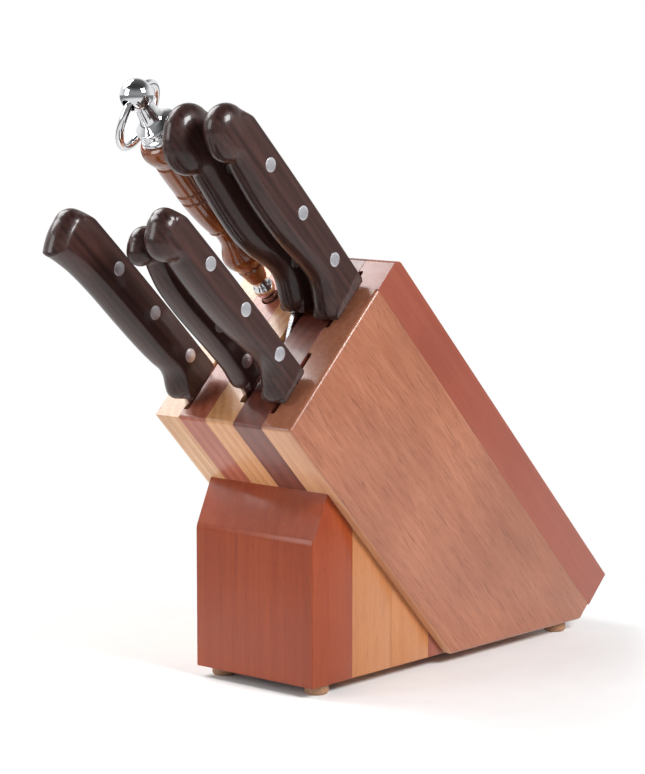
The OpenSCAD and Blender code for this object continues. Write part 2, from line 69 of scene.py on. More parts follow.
# spine line, lean, guard gap, belly as (distance from the guard, depth), the butt's circles
KNIVES = [
    dict(x=-28, s=30.2, lean=2.4, gap=6, length=127.4, waist=22.6, pommel=29, lobe=2.2, drop=5,
         shoulder=9, thick=16, bevel=5.4, crown=1.2, hook=None, rivet=(18, 7.6),
         belly=[(0, 18.5), (2, 23), (5, 25.8), (8, 26), (12, 24), (16, 21.6), (21, 20.8),
                (28, 21.8), (40, 22.8), (60, 23.4), (85, 23.8), (102, 25), (114, 27.2), (124, 30)]),
    dict(x=5.2, s=33, lean=0.5, gap=5, length=110.7, waist=16.8, pommel=20.6, lobe=7.2, drop=2,
         shoulder=9.2, thick=13, bevel=4, crown=0.3, hook=92, rivet=(13, 6.4),
         belly=[(0, 13.6), (2, 15.8), (5, 16.6), (9, 16.2), (15, 15.6), (30, 16.2), (50, 17.6),
               (65, 18.2), (80, 17.4), (98, 12.7)]),
    dict(x=28, s=35, lean=1.8, gap=3, length=126.5, waist=18.2, pommel=23, lobe=11.1, drop=2,
         shoulder=6.6, thick=16, bevel=4.3, crown=0.8, hook=102, rivet=(20.9, 5.6),
         belly=[(0, 20), (2, 22), (5, 21.6), (8, 19.4), (11, 16.8), (15, 14.2), (20, 12.9),
                (26, 13), (36, 14.8), (48, 17), (62, 18.2), (82, 18.6), (96, 18.2), (112, 17)]),
    dict(x=5.2, s=95.6, lean=0, gap=3.5, length=134.2, waist=28.2, pommel=34, lobe=14.8, drop=3.8,
         shoulder=15, thick=16, bevel=6.2, crown=0.3, hook=99, rivet=(24.5, 10.8),
         belly=[(0, 24.5), (2, 26.4), (5, 26.8), (9, 26), (14, 23.6), (19, 21.4), (26, 20.9),
                (34, 23), (44, 26.2), (57, 28.2), (72, 28.2), (86, 27.2), (98, 26.2), (112, 24)]),
    dict(x=28, s=96.4, lean=0, gap=2.5, length=133.6, waist=24.2, pommel=26.6, lobe=11.4, drop=5.6,
         shoulder=12.4, thick=16, bevel=5.2, crown=0.4, hook=104, rivet=(24.2, 8.1),
         belly=[(0, 27), (2, 29), (5, 28.6), (10, 26), (15, 23), (21, 20.9), (28, 20.7),
                (38, 21.8), (52, 23.6), (66, 24.4), (82, 24.2), (96, 23), (112, 21.5)]),
]
BLADES = [
    dict(length=190, heel=23, neck=21, point=9, curve=0.25, t=2.0),
    dict(length=98, heel=16, neck=14.5, point=5, curve=0.55, t=2.0),
    dict(length=150, heel=20.5, neck=18, point=6, curve=0.45, t=2.0),
    dict(length=203, heel=43, neck=25.5, point=6, curve=0.6, t=2.4),
    dict(length=222, heel=26.5, neck=24.5, point=8, curve=0.35, t=2.0),
]
RIVET_R = 3.8
RIVET_PITCH = 34.0

STEEL_X, STEEL_S, STEEL_LEAN = -20.5, 82.3, -1.7
BORE_DEPTH, BORE_R = 230.0, 5.0
FINIAL_T, FINIAL_R = 142.6, 8.2
GUARD_BALL_T, GUARD_BALL_R = 6.9, 5.6
HANDLE_TOP, HANDLE_BOTTOM = 26.5, 128.5
ROD_LEN, ROD_R, ROD_SOCKET = 212.0, 4.25, 4.0
RING_R, WIRE_R, RING_REST = 17.0, 2.0, 31.5

# ---------------------------------------------------------------- placement

def moved(x, y, z):
    return Matrix.Translation((x * MM, y * MM, z * MM))


def turned(degrees):
    return Matrix.Rotation(math.radians(degrees), 4, "X")


BLOCK = moved(0, FRONT_EDGE_Y, FRONT_EDGE_Z) @ Matrix.Rotation(
    math.pi / 2 - SLOT_ANGLE, 4, "X")
FOOTING = moved(0, FRONT_EDGE_Y, FOOT_H)
STEEL = BLOCK @ moved(STEEL_X, STEEL_S, 0) @ turned(STEEL_LEAN) @ moved(0, 0, FINIAL_T)


def knife_matrix(k):
    return BLOCK @ moved(k["x"], k["s"], k["gap"]) @ turned(k["lean"])


# ---------------------------------------------------------------- mesh helpers
SHARP_ANGLE = 32


def mesh_object(name, bm, matrix, sharp=SHARP_ANGLE):
    """A new object from a bmesh drawn in millimetres in the local frame given by matrix."""
    bmesh.ops.scale(bm, vec=(MM, MM, MM), verts=bm.verts)
    bmesh.ops.recalc_face_normals(bm, faces=bm.faces)
    mesh = bpy.data.meshes.new(name)
    bm.to_mesh(mesh)
    bm.free()
    mesh.shade_smooth()
    mesh.set_sharp_from_angle(angle=math.radians(sharp))
    obj = bpy.data.objects.new(name, mesh)
    bpy.context.scene.collection.objects.link(obj)
    obj.matrix_world = matrix
    return obj


def finish_piece(obj, body, slot, *nodes):
    """Gives a piece its slot's material, its body and the CAD nodes that it stands for."""
    obj.data.materials.clear()
    obj.data.materials.append(LOOKS[slot])
    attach(obj, body)
    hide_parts(*nodes)


def skin(bm, rows):
    """Joins neighbouring rows of points, each a closed loop, with four-sided faces."""
    for low, high in zip(rows, rows[1:]):
        for i in range(len(low)):
            j = (i + 1) % len(low)
            bm.faces.new((low[i], low[j], high[j], high[i]))


def cut_off(bm, place, outward):
    """Cuts away what lies beyond a plane and closes the cut."""
    cut = bmesh.ops.bisect_plane(
        bm, geom=bm.verts[:] + bm.edges[:] + bm.faces[:], plane_co=place, plane_no=outward,
        clear_outer=True)
    rim = [e for e in cut["geom_cut"] if isinstance(e, bmesh.types.BMEdge)]
    bmesh.ops.holes_fill(bm, edges=rim, sides=0)


def prism(points, low, high, axis):
    """A closed prism: a 2-D outline carried from low to high along an axis."""
    bm = bmesh.new()
    if axis == "Z":
        rings = [[bm.verts.new((a, b, h)) for a, b in points] for h in (low, high)]
    else:
        rings = [[bm.verts.new((h, a, b)) for a, b in points] for h in (low, high)]
    bm.faces.new(rings[0])
    bm.faces.new(rings[1])
    skin(bm, rings)
    bmesh.ops.recalc_face_normals(bm, faces=bm.faces)
    return bm


def lathe(profile, segments=96):
    """Turns [radius, height] points about Z into a closed skin."""
    bm = bmesh.new()
    rows = []
    for r, z in profile:
        if r < 1e-6:
            rows.append([bm.verts.new((0, 0, z))])
        else:
            rows.append([
                bm.verts.new((r * math.cos(a), r * math.sin(a), z))
                for a in (2 * math.pi * i / segments for i in range(segments))])
    for low, high in zip(rows, rows[1:]):
        for i in range(segments):
            j = (i + 1) % segments
            corners = [low[i % len(low)], low[j % len(low)],
                       high[j % len(high)], high[i % len(high)]]
            corners = list(dict.fromkeys(corners))
            if len(corners) > 2:
                bm.faces.new(corners)
    for row in (rows[0], rows[-1]):
        if len(row) > 1:
            bm.faces.new(row)
    return bm


def curve_through(points, per_span=6):
    """Catmull-Rom curve through [radius, height] points."""
    result = []
    for i in range(len(points) - 1):
        p0, p1 = points[max(i - 1, 0)], points[i]
        p2, p3 = points[i + 1], points[min(i + 2, len(points) - 1)]
        for k in range(per_span):
            u = k / per_span
            result.append(tuple(
                0.5 * (2 * b + (c - a) * u + (2 * a - 5 * b + 4 * c - d) * u ** 2
                       + (3 * b - a - 3 * c + d) * u ** 3)
                for a, b, c, d in zip(p0, p1, p2, p3)))
    result.append(tuple(points[-1]))
    return result


def combine(obj, cutter_bm, operation):
    """Exact boolean of obj with a shape drawn in millimetres in obj's own frame."""
    cutter = mesh_object(obj.name + "_cutter", cutter_bm, obj.matrix_world.copy())
    modifier = obj.modifiers.new("cut", "BOOLEAN")
    modifier.operation = operation
    modifier.solver = "EXACT"
    modifier.object = cutter
    bpy.context.view_layer.update()
    graph = bpy.context.evaluated_depsgraph_get()
    result = bpy.data.meshes.new_from_object(obj.evaluated_get(graph))
    obj.modifiers.clear()
    old = obj.data
    obj.data = result
    bpy.data.meshes.remove(old)
    mesh = cutter.data
    bpy.data.objects.remove(cutter)
    bpy.data.meshes.remove(mesh)
    obj.data.shade_smooth()
    obj.data.set_sharp_from_angle(angle=math.radians(SHARP_ANGLE))


def box_bm(low, high):
    return prism([(low[0], low[1]), (high[0], low[1]), (high[0], high[1]), (low[0], high[1])],
                 low[2], high[2], "Z")


def cylinder_bm(radius, low, high):
    bm = lathe([(radius, low), (radius, high)], segments=64)
    bmesh.ops.recalc_face_normals(bm, faces=bm.faces)
    return bm


def bevel_edges(bm, edges, offset, segments):
    if edges:
        bmesh.ops.bevel(bm, geom=edges, offset=offset, segments=segments, profile=0.5,
                        affect="EDGES", clamp_overlap=True)


# ---------------------------------------------------------------- materials
class Tree:
    """Builds the nodes of one material, or of the world."""

    def __init__(self, owner):
        owner.use_nodes = True
        self.owner = owner
        self.tree = owner.node_tree
        self.tree.nodes.clear()

    def add(self, kind, inputs=None, **settings):
        node = self.tree.nodes.new("ShaderNode" + kind)
        for key, value in settings.items():
            setattr(node, key, value)
        for key, value in (inputs or {}).items():
            if isinstance(value, bpy.types.NodeSocket):
                self.tree.links.new(value, node.inputs[key])
            else:
                node.inputs[key].default_value = value
        return node

    def math(self, operation, a, b=0.0):
        return self.add("Math", {0: a, 1: b}, operation=operation).outputs[0]

    def mapped(self, scale, place=(0, 0, 0)):
        coords = self.add("TexCoord").outputs["Object"]
        return self.add("Mapping", {
            "Vector": coords, "Scale": scale, "Location": place}).outputs[0]

    def noise(self, vector, scale=1.0, detail=2.0, rough=0.5):
        return self.add("TexNoise", {
            "Vector": vector, "Scale": scale, "Detail": detail, "Roughness": rough})

    def mix(self, factor, a, b, blend="MIX"):
        def colour(c):
            return c if isinstance(c, bpy.types.NodeSocket) else (*c, 1)
        node = self.add("Mix", {0: factor, 6: colour(a), 7: colour(b)}, data_type="RGBA",
                        blend_type=blend)
        return node.outputs[2]

    def between(self, value, low, high, to_low=0.0, to_high=1.0):
        return self.add("MapRange", {
            "Value": value, "From Min": low, "From Max": high, "To Min": to_low,
            "To Max": to_high}).outputs[0]

    def bump(self, height, strength, distance):
        return self.add("Bump", {
            "Height": height, "Strength": strength, "Distance": distance}).outputs[0]

    def surface(self, **sockets):
        shader = self.add("BsdfPrincipled", {k.replace("_", " "): v for k, v in sockets.items()})
        self.add("OutputMaterial", {"Surface": shader.outputs[0]})
        return self.owner


def linear(r, g, b):
    """sRGB bytes to linear light."""
    def one(v):
        v /= 255
        return v / 12.92 if v <= 0.04045 else ((v + 0.055) / 1.055) ** 2.4
    return one(r), one(g), one(b)


def wood(name, dark, mid, light, seed=0.0, ring_pitch=4.0, ring_at=(0.06, 0.05), warp=0.006,
         ring_mix=0.55, fibre_mix=0.45, pore_mix=0.5, fleck=1.0, rough=0.34, coat=0.35,
         coat_rough=0.12, end_tint=0.85, specular=0.5, grain=(900, 900, 22), cloud_mix=0.3,
         streaks=(260, 260, 7), relief=0.12, edge=None):
    """Lacquered wood with its grain along the piece's own Z; edge tints its -Y edge face."""
    dark, mid, light = linear(*dark), linear(*mid), linear(*light)
    t = Tree(bpy.data.materials.new(name))
    base = t.mapped((1, 1, 1), (seed, seed * 1.7, seed * 2.3))
    drift = t.noise(t.mapped((14, 14, 2.6), (seed * 3, seed, seed * 5)), 1.0, 2.0, 0.5)
    offset = t.add("VectorMath", {0: drift.outputs["Color"], 1: (0.5, 0.5, 0.5)},
                   operation="SUBTRACT").outputs[0]
    offset = t.add("VectorMath", {0: offset, "Scale": 2 * warp}, operation="SCALE").outputs[0]
    bent = t.add("VectorMath", {0: t.mapped((1, 1, 0.02)), 1: offset},
                 operation="ADD").outputs[0]
    centred = t.add("VectorMath", {0: bent, 1: (ring_at[0], ring_at[1], 0)},
                    operation="SUBTRACT").outputs[0]
    radius = t.add("VectorMath", {0: centred}, operation="LENGTH").outputs["Value"]
    phase = t.math("MULTIPLY", radius, 2 * math.pi / (ring_pitch * MM))
    rings = t.math("MULTIPLY_ADD", t.math("SINE", phase), 0.5)
    rings.node.inputs[2].default_value = 0.5
    fibre = t.noise(t.mapped(grain, (seed, seed, seed)), 1.0, 4.0, 0.62).outputs[0]
    streak = t.noise(t.mapped(streaks, (seed * 7, seed, 0)), 1.0, 3.0, 0.55).outputs[0]
    cloud = t.noise(base, 14.0, 2.0, 0.5).outputs[0]
    pore = t.noise(t.mapped((1500, 1500, 150 / fleck), (seed * 2, 0, seed)), 1.0, 2.0,
                   0.6).outputs[0]
    tone = t.mix(t.math("MULTIPLY", t.between(rings, 0.1, 0.95), ring_mix), mid, light)
    tone = t.mix(t.math("MULTIPLY", t.between(streak, 0.42, 0.68), fibre_mix), tone, light)
    tone = t.mix(t.math("MULTIPLY", t.between(fibre, 0.5, 0.72), fibre_mix), tone, dark)
    tone = t.mix(t.math("MULTIPLY", t.between(cloud, 0.42, 0.68), cloud_mix), tone, dark)
    pores = t.between(pore, 0.6, 0.72)
    tone = t.mix(t.math("MULTIPLY", pores, pore_mix), tone, tuple(c * 0.45 for c in dark))
    facing = t.add("SeparateXYZ", {0: t.add("TexCoord").outputs["Normal"]})
    if edge:
        front = t.between(t.math("MULTIPLY", facing.outputs[1], -1.0), 0.5, 0.95)
        paler = t.mix(t.math("MULTIPLY", t.between(streak, 0.35, 0.7), 0.6), linear(*edge),
                       light)
        tone = t.mix(front, tone, paler)
    end = t.between(t.math("ABSOLUTE", facing.outputs[2]), 0.55, 0.95)
    tone = t.mix(end, tone, t.mix(1.0, tone, (end_tint,) * 3, "MULTIPLY"))
    height = t.math("SUBTRACT", t.math("MULTIPLY", fibre, 0.4), pores)
    roughness = t.between(streak, 0.3, 0.7, rough - 0.05, rough + 0.07)
    return t.surface(
        Base_Color=tone, Roughness=roughness, Coat_Weight=coat, Coat_Roughness=coat_rough,
        Specular_IOR_Level=specular, Normal=t.bump(height, relief, 0.00015))


def metal(name, colour, rough, spread=0.03, scale=(900, 900, 900), bump=0.0):
    t = Tree(bpy.data.materials.new(name))
    haze = t.noise(t.mapped(scale), 1.0, 3.0, 0.6).outputs[0]
    tone = t.mix(t.between(haze, 0.35, 0.65), tuple(c * 0.94 for c in colour), colour)
    return t.surface(
        Base_Color=tone, Metallic=1.0,
        Roughness=t.between(haze, 0.3, 0.7, max(rough - spread, 0.02), rough + spread),
        Normal=t.bump(haze, bump, 0.00005))


def matt(name, colour, shade):
    t = Tree(bpy.data.materials.new(name))
    grit = t.noise(t.mapped((1400, 1400, 1400)), 1.0, 3.0, 0.6).outputs[0]
    tone = t.mix(t.between(grit, 0.35, 0.7), colour, shade)
    return t.surface(Base_Color=tone, Roughness=t.between(grit, 0.3, 0.7, 0.5, 0.7),
                     Normal=t.bump(grit, 0.25, 0.0001))


# three tones as sRGB bytes, and what differs from the plain lacquered wood above
WOODS = {
    "board_1_wood": dict(dark=(170, 105, 65), mid=(214, 160, 112), light=(232, 192, 146),
                         seed=1.3, ring_pitch=5, fibre_mix=0.6),
    "board_2_wood": dict(dark=(135, 62, 44), mid=(172, 88, 64), light=(196, 120, 92), seed=2.1,
                         ring_pitch=6),
    "board_3_wood": dict(dark=(170, 98, 55), mid=(208, 142, 92), light=(228, 174, 122), seed=3.7,
                         ring_pitch=5),
    "board_4_wood": dict(dark=(78, 34, 28), mid=(112, 54, 42), light=(140, 74, 56), seed=4.9,
                         ring_pitch=6),
    "board_5_wood": dict(dark=(126, 70, 50), mid=(166, 102, 74), light=(188, 125, 95), seed=5.5,
                         ring_pitch=9, ring_at=(0.11, 0.03), warp=0.012, fleck=2.2,
                         pore_mix=0.55, ring_mix=0.2, fibre_mix=0.55, grain=(1100, 1100, 95),
                         streaks=(420, 420, 26), cloud_mix=0.4, edge=(216, 160, 118)),
    "back_strip_wood": dict(dark=(124, 54, 38), mid=(150, 73, 53), light=(166, 91, 68), seed=6.1,
                            ring_pitch=8, pore_mix=0.2, fibre_mix=0.3, ring_mix=0.1,
                            grain=(1000, 1000, 60)),
    "wedge_front_wood": dict(dark=(112, 38, 12), mid=(146, 58, 22), light=(168, 78, 34),
                             seed=7.3, ring_pitch=9, pore_mix=0.35, ring_mix=0.15, fibre_mix=0.4,
                             grain=(1000, 1000, 50), coat=0.15, specular=0.35, end_tint=0.4),
    "wedge_middle_wood": dict(dark=(158, 92, 50), mid=(184, 118, 70), light=(200, 140, 92),
                              seed=8.9, ring_pitch=8, pore_mix=0.3, ring_mix=0.2,
                              grain=(1000, 1000, 50), fibre_mix=0.4),
    "wedge_rear_wood": dict(dark=(110, 48, 36), mid=(146, 74, 56), light=(164, 92, 72), seed=9.7,
                            ring_pitch=8, pore_mix=0.3),
    "handle_rosewood": dict(dark=(24, 15, 15), mid=(50, 31, 29), light=(84, 53, 47), seed=11.3,
                            ring_pitch=3.2, ring_mix=0.35, fibre_mix=0.65, pore_mix=0.4,
                            rough=0.32, coat=0.4, specular=0.3, coat_rough=0.08, end_tint=0.9,
                            grain=(1100, 1100, 24), relief=0.03),
    "turned_wood": dict(dark=(74, 27, 8), mid=(142, 67, 21), light=(184, 100, 38), seed=13.1,
                        ring_pitch=4.5, fibre_mix=0.4, pore_mix=0.12, ring_mix=0.35, rough=0.22,
                        coat=1.0, coat_rough=0.03, end_tint=0.8, relief=0.02),
    "dowel_wood": dict(dark=(170, 130, 84), mid=(212, 178, 130), light=(228, 200, 156),
                       seed=15.1, rough=0.6, coat=0.0),
}
LOOKS = {name: wood(name, **look) for name, look in WOODS.items()}
LOOKS.update({
    "chrome": metal("chrome", (0.86, 0.87, 0.89), 0.05),
    "blade_steel": metal("blade_steel", (0.74, 0.75, 0.77), 0.24, 0.06, (160, 2600, 60), 0.1),
    "rod_steel": metal("rod_steel", (0.55, 0.56, 0.58), 0.28, 0.06, (2000, 2000, 80), 0.15),
    "rivet_metal": metal("rivet_metal", (0.80, 0.79, 0.83), 0.34, 0.05, (700, 700, 700), 0.05),
    "screw_steel": metal("screw_steel", (0.6, 0.6, 0.62), 0.35),
    "foot_rubber": matt("foot_rubber", linear(176, 132, 100), linear(140, 102, 74)),
})

# ---------------------------------------------------------------- block boards
OUTER_R = 2.0
BACK_TOP_R = 4.5
JOINT_R = 0.25
STEEL_BOARD, STRIP_BOARD = 1, 4
BORE_PAST = 5
NEAR, ALIGNED = 0.01, 0.99
SIN, COS = math.sin(SLOT_ANGLE), math.cos(SLOT_ANGLE)


def section(x0, x1, s0, s1, notches):
    """Board section across the slots, with notches open on its left (-1) or right (1) face."""
    def notch(n, left):
        _, _, width, a, b = n
        face, sign = (x0, 1) if left else (x1, -1)
        arc = [(face + sign * (width - SLOT_R + SLOT_R * math.sin(v)),
                a + SLOT_R - SLOT_R * math.cos(v))
               for v in (math.pi / 2 * i / 4 for i in range(5))]
        far = [(px, a + b - py) for px, py in reversed(arc)]
        low = [(face + sign * width, s0)] if a < s0 else [(face, a)] + arc
        high = [(face + sign * width, s1)] if b > s1 else far + [(face, b)]
        run = low + high
        return run if not left else run[::-1]
    right = sorted((n for n in notches if n[1] > 0), key=lambda n: n[3])
    left = sorted((n for n in notches if n[1] < 0), key=lambda n: -n[3])
    points = [] if any(n[3] < s0 for n in left) else [(x0, s0)]
    points.append((x1, s0))
    for n in right:
        points += notch(n, False)
    points.append((x1, s1))
    if not any(n[4] > s1 for n in left):
        points.append((x0, s1))
    for n in left:
        points += notch(n, True)
    return points


def is_outer(face):
    """Whether a face of a board lies on the block's outside."""
    n, c = face.normal, face.calc_center_median()
    if abs(n.x) > ALIGNED:
        return abs(abs(c.x) - BLOCK_W / 2) < NEAR
    if abs(n.y) > ALIGNED:
        return abs(c.y) < NEAR or abs(c.y - FACE_LEN) < NEAR
    if abs(n.z) > ALIGNED:
        return True
    if abs(n.x) < NEAR and c.y > FACE_LEN - BACK_TOP_R and c.z > -BACK_TOP_R:
        return True
    return abs(c.y * COS + c.z * SIN + FRONT_EDGE_H) < 5 * NEAR


def bored(name, bm):
    """The steel's board with its blind hole, which leans as the steel does."""
    obj = mesh_object(name, bm, BLOCK)
    bore = cylinder_bm(BORE_R, -BORE_DEPTH, BORE_PAST)
    bmesh.ops.transform(bore, verts=bore.verts, matrix=Matrix.Translation(
        (STEEL_X, STEEL_S, 0)) @ turned(STEEL_LEAN))
    combine(obj, bore, "DIFFERENCE")
    bm = bmesh.new()
    bm.from_mesh(obj.data)
    bpy.data.objects.remove(obj)
    bmesh.ops.scale(bm, vec=(1 / MM,) * 3, verts=bm.verts)
    bmesh.ops.remove_doubles(bm, verts=bm.verts, dist=0.001)
    return bm


def board(name, i, s0, s1):
    """Board i from s0 to s1 along the top face, routed, cut off level below, edges eased."""
    x0, x1 = BOARD_X[i], BOARD_X[i + 1]
    notches = [n for n in SLOTS if n[0] == i and n[3] < s1 and n[4] > s0]
    bm = prism(section(x0, x1, s0, s1, notches), -BLOCK_LEN, 0, "Z")
    if i == STEEL_BOARD:
        bm = bored(name, bm)
    cut_off(bm, (0, 0, -FRONT_EDGE_H / SIN), (0, -COS, -SIN))
    bmesh.ops.recalc_face_normals(bm, faces=bm.faces)
    bm.normal_update()
    bevel_edges(bm, [e for e in bm.edges if all(
        abs(v.co.y - FACE_LEN) < NEAR and abs(v.co.z) < NEAR for v in e.verts)], BACK_TOP_R, 8)
    bm.normal_update()
    outer = [e for e in bm.edges if len(e.link_faces) == 2
             and all(is_outer(f) for f in e.link_faces)
             and e.calc_face_angle(0) > math.radians(20)]
    bevel_edges(bm, outer, OUTER_R, 5)
    bm.normal_update()

    def on_joint(f):
        c, n = f.calc_center_median(), f.normal
        across = abs(n.x) > 0.999 and abs(abs(c.x) - BLOCK_W / 2) > NEAR
        along = i == STRIP_BOARD and abs(n.y) > 0.999 and abs(c.y - (FACE_LEN - STRIP_W)) < NEAR
        return across or along

    fine = [e for e in bm.edges if len(e.link_faces) == 2
            and e.calc_face_angle(0) > math.radians(30)
            and (any(on_joint(f) for f in e.link_faces)
                 or any(abs(f.calc_center_median().z) < NEAR for f in e.link_faces))]
    bevel_edges(bm, fine, JOINT_R, 1)
    return mesh_object(name, bm, BLOCK)


for i in range(5):
    end = FACE_LEN - STRIP_W if i == STRIP_BOARD else FACE_LEN
    finish_piece(board(f"board_{i + 1}", i, 0, end), "block",
                 f"board_{i + 1}_wood", f"block_board_{i + 1}")
finish_piece(board("back_strip", STRIP_BOARD, FACE_LEN - STRIP_W, FACE_LEN), "block",
             "back_strip_wood", "block_back_strip")

# ---------------------------------------------------------------- wedge foot
WEDGE_W, WEDGE_T, WEDGE_Y, WEDGE_H, WEDGE_REACH = 80.0, 30.8, 23.2, 73.5, 50.0
SHOULDER_R = 9.0
WEDGE_EDGE_R, WEDGE_JOINT_R = 3.0, 0.3
WEDGE_SLOTS = ["wedge_front_wood", "wedge_middle_wood", "wedge_middle_wood", "wedge_rear_wood"]


def rounded_corner(a, b, c, radius):
    """Points of an arc that rounds corner b between a and c."""
    a, b, c = Vector(a), Vector(b), Vector(c)
    u, v = (a - b).normalized(), (c - b).normalized()
    half = u.angle(v) / 2
    centre = b + (u + v).normalized() * radius / math.sin(half)
    start, end = b + u * radius / math.tan(half), b + v * radius / math.tan(half)
    arm, other = start - centre, end - centre
    sweep = arm.angle_signed(other)
    result = []
    steps = 8
    for i in range(steps + 1):
        angle = -sweep * i / steps
        result.append((centre.x + arm.x * math.cos(angle) - arm.y * math.sin(angle),
                       centre.y + arm.x * math.sin(angle) + arm.y * math.cos(angle)))
    return result


def wedge():
    """Four boards cut from one outline, each eased at its own edges."""
    top_y = WEDGE_REACH * COS
    top = (top_y, FRONT_EDGE_H - top_y * math.tan(SLOT_ANGLE))
    back_y = FRONT_EDGE_H / math.tan(SLOT_ANGLE)
    shoulder = rounded_corner((WEDGE_Y, 0), (WEDGE_Y, WEDGE_H), top, SHOULDER_R)
    outline = [(WEDGE_Y, 0)] + shoulder + [top, (back_y, 0)]
    for n in range(4):
        bm = prism(outline, -WEDGE_W / 2, WEDGE_W / 2, "X")
        sides = [e for e in bm.edges if any(abs(f.normal.x) > 0.99 for f in e.link_faces)
                 and all(abs(v.co.z - (FRONT_EDGE_H - v.co.y * math.tan(SLOT_ANGLE))) > 0.1
                         for v in e.verts) and max(v.co.z for v in e.verts) > 1]
        bevel_edges(bm, sides, WEDGE_EDGE_R, 5)
        bm.normal_update()
        low, high = WEDGE_Y + n * WEDGE_T, WEDGE_Y + (n + 1) * WEDGE_T
        for y, sign in ((low, -1), (high, 1)):
            if (sign < 0 and n > 0) or (sign > 0 and y < back_y):
                cut_off(bm, (0, y, 0), (0, sign, 0))
        bmesh.ops.recalc_face_normals(bm, faces=bm.faces)
        bm.normal_update()
        fine = [e for e in bm.edges if len(e.link_faces) == 2
                and e.calc_face_angle(0) > math.radians(30)]
        bevel_edges(bm, fine, WEDGE_JOINT_R, 2)
        finish_piece(mesh_object(f"wedge_{n + 1}", bm, FOOTING), "block", WEDGE_SLOTS[n],
                     f"wedge_board_{n + 1}")


wedge()

# ---------------------------------------------------------------- feet
FOOT_R, FOOT_EDGE_R, FOOT_GAP = 6.25, 1.8, 0.05
SCREW_BORE_R, SCREW_RECESS_R, SCREW_RECESS_H, RECESS_BEVEL = 1.55, 3.5, 2.0, 0.35
FOOT_PLACES = [("front", 32.0, 35.5), ("rear", 36.0, 232.0)]
foot_profile = (
    [(SCREW_BORE_R, SCREW_RECESS_H), (SCREW_RECESS_R, SCREW_RECESS_H),
     (SCREW_RECESS_R, RECESS_BEVEL), (SCREW_RECESS_R + RECESS_BEVEL, 0.0)]
    + [(FOOT_R - FOOT_EDGE_R + FOOT_EDGE_R * math.sin(a), FOOT_EDGE_R - FOOT_EDGE_R * math.cos(a))
       for a in (math.pi / 2 * i / 8 for i in range(9))]
    + [(FOOT_R, FOOT_H - 0.5), (FOOT_R - 0.35, FOOT_H - FOOT_GAP),
       (SCREW_BORE_R, FOOT_H - FOOT_GAP)]
)
for side, sx in (("left", -1), ("right", 1)):
    for end, fx, fy in FOOT_PLACES:
        bm = lathe(foot_profile, 64)
        rings = [f for f in bm.faces if len(f.verts) > 4]
        bmesh.ops.delete(bm, geom=rings, context="FACES_ONLY")
        bmesh.ops.bridge_loops(bm, edges=[e for e in bm.edges if e.is_boundary])
        obj = mesh_object(f"foot_{end}_{side}_turned", bm, moved(sx * fx, FRONT_EDGE_Y + fy, 0))
        finish_piece(obj, "block", "foot_rubber", f"foot_{end}_{side}")


# ---------------------------------------------------------------- knife handles
SPINE_CROWN = 0.6
BELLY_CREASE, LOBE_CREASE = 57, 86  # degrees
PROFILE_STEPS = 9
FILLET_STEPS = 4
EDGE_R = 1.0
FLAT_RUN = 0.8
FLAT_SHARE, ROUND_SHARE = 0.34, 0.66  # of the spine's section
DENSE_COUNT, OUTLINE_COUNT = 1200, 400
OUTLINE_STEP = 0.4
ARC_STEP = 2  # degrees
LOBE_START = -200  # degrees, behind where the lobe's circle leaves the belly
LOBE_REACH = 1.2
EASE, HOOK_EASE, HOOK_SPREAD = 0.7, 2.2, 7
DOME_FROM, DOME_TO, DOME_WIDEN = -4, 10, 0.65
MITRE_SHARE, MITRE_SLACK = 0.985, 0.05
SPINE_FACING, GUARD_FACING = (0.6, 0.95), (0.5, 0.95)
SHOULDER_FADE = 5
GUARD_END, GUARD_FADE = 10, 4


def hermite(points, z):
    """Smooth curve through [z, depth] points, with slopes taken from each point's neighbours."""
    last = len(points) - 1
    i = next((k for k in range(last) if z <= points[k + 1][0]), last - 1)

    def slope(k):
        a, b = points[max(k - 1, 0)], points[min(k + 1, last)]
        return (b[1] - a[1]) / (b[0] - a[0])
    w = points[i + 1][0] - points[i][0]
    u = min(1.0, max(0.0, (z - points[i][0]) / w))
    a, b = slope(i) * w, slope(i + 1) * w
    return (points[i][1] * (1 + 2 * u) * (1 - u) ** 2 + points[i + 1][1] * u ** 2 * (3 - 2 * u)
            + a * u * (1 - u) ** 2 - b * u ** 2 * (1 - u))


def arc_points(centre, radius, first, last):
    """Arc of [y, z] points, with its angles in degrees from +z towards +y."""
    count = max(2, int(abs(last - first) / ARC_STEP))
    angles = [math.radians(first + (last - first) * i / count) for i in range(count + 1)]
    return [(centre[0] + radius * math.sin(a), centre[1] + radius * math.cos(a)) for a in angles]


